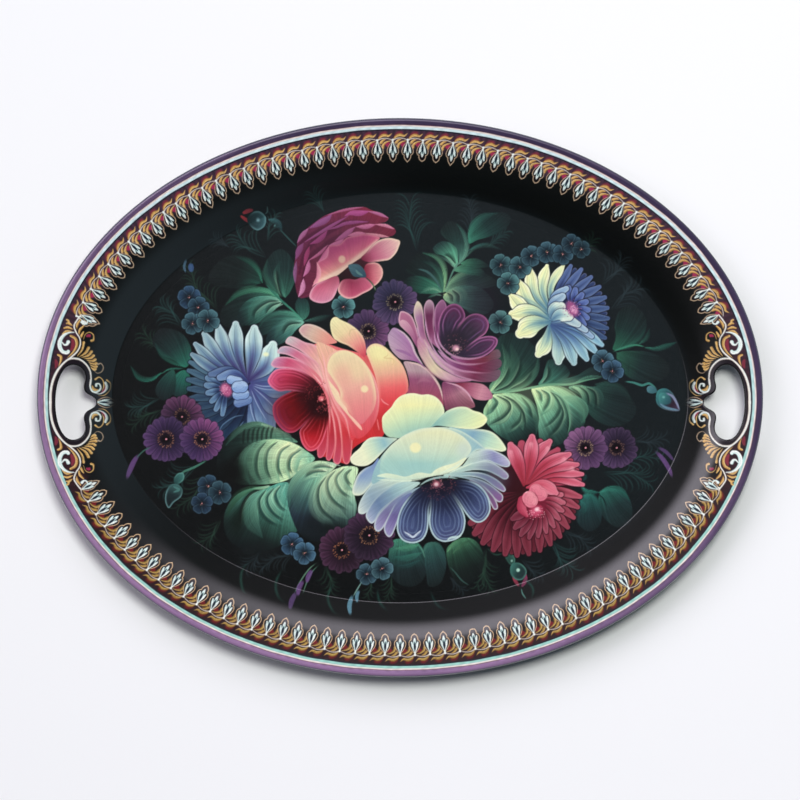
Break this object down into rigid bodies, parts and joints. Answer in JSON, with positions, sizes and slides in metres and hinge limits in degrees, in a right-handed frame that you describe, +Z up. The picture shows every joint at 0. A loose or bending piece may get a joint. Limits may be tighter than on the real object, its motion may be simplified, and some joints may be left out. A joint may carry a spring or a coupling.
{
  "type": "oval serving tray",
  "caption": "Oval pressed-steel serving tray with a wide flared border, hand holes in it, a wired rolled edge and a painted flower bouquet on black lacquer.",
  "frame": {"origin": "under the middle of the floor, on the surface the tray stands on", "axes": "+X along the tray's length through both hand holes, +Y across it towards the top of the painted picture, +Z up out of the painted side"},
  "size_m": [0.5, 0.385, 0.023],
  "materials": {
    "painted_enamel": "high gloss clear lacquer over black-green enamel with oil-painted flowers and gold and white ornament",
    "wire_steel": "drawn bare steel, hidden in the rolled edge"
  },
  "bodies": {
    "root": {"tray_pan": "painted_enamel", "rim_wire": "wire_steel"}
  },
  "joints": []
}
